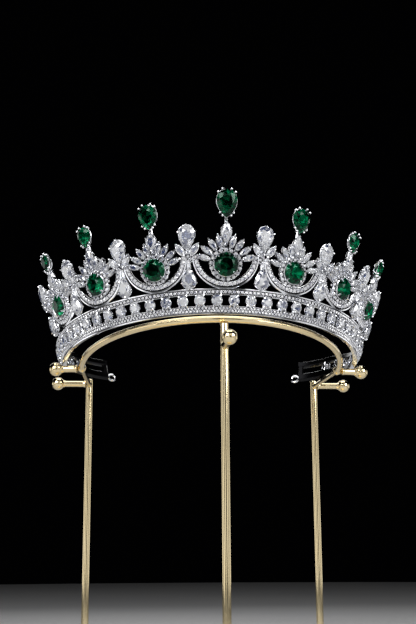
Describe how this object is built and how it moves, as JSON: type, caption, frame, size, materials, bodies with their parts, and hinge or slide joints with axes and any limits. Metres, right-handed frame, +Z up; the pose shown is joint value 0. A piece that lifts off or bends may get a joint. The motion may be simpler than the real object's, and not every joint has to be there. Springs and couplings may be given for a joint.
{
  "type": "bridal crown on wire stand",
  "caption": "Curved bridal tiara with a pierced stone band, round green stones under leaf fans, green drops and clear pears, resting on a gold wire stand with a round foot.",
  "frame": {"origin": "centre of the round foot's underside", "axes": "+Z up, the crown's front towards -Y, +X to the right as seen from the front"},
  "size_m": [0.164, 0.164, 0.2301],
  "materials": {
    "silver_metal": "polished",
    "clear_stone": "cut and polished",
    "green_stone": "cut and polished",
    "gold_metal": "polished"
  },
  "bodies": {
    "root": {"tiara_frame": "silver_metal", "band_stones": "clear_stone", "leaf_stones": "clear_stone", "round_emerald_1": "green_stone", "round_emerald_2": "green_stone", "round_emerald_3": "green_stone", "round_emerald_4": "green_stone", "round_emerald_5": "green_stone", "round_emerald_6": "green_stone", "round_emerald_7": "green_stone", "drop_emerald_1": "green_stone", "drop_emerald_2": "green_stone", "drop_emerald_3": "green_stone", "drop_emerald_4": "green_stone", "drop_emerald_5": "green_stone", "drop_emerald_6": "green_stone", "drop_emerald_7": "green_stone", "top_marquise_1": "clear_stone", "top_marquise_2": "clear_stone", "top_marquise_3": "clear_stone", "top_marquise_4": "clear_stone", "top_marquise_5": "clear_stone", "top_marquise_6": "clear_stone", "top_marquise_7": "clear_stone", "upper_pear_1": "clear_stone", "upper_pear_2": "clear_stone", "upper_pear_3": "clear_stone", "upper_pear_4": "clear_stone", "upper_pear_5": "clear_stone", "upper_pear_6": "clear_stone", "upper_pear_7": "clear_stone", "upper_pear_8": "clear_stone", "lower_pear_1": "clear_stone", "lower_pear_2": "clear_stone", "lower_pear_3": "clear_stone", "lower_pear_4": "clear_stone", "lower_pear_5": "clear_stone", "lower_pear_6": "clear_stone", "lower_pear_7": "clear_stone", "lower_pear_8": "clear_stone", "rest_rail": "gold_metal", "front_post": "gold_metal", "rear_post_left": "gold_metal", "rear_post_right": "gold_metal", "front_peg": "gold_metal", "side_peg_left": "gold_metal", "side_peg_right": "gold_metal", "rear_peg_left": "gold_metal", "rear_peg_right": "gold_metal", "stand_base": "gold_metal"}
  },
  "joints": []
}
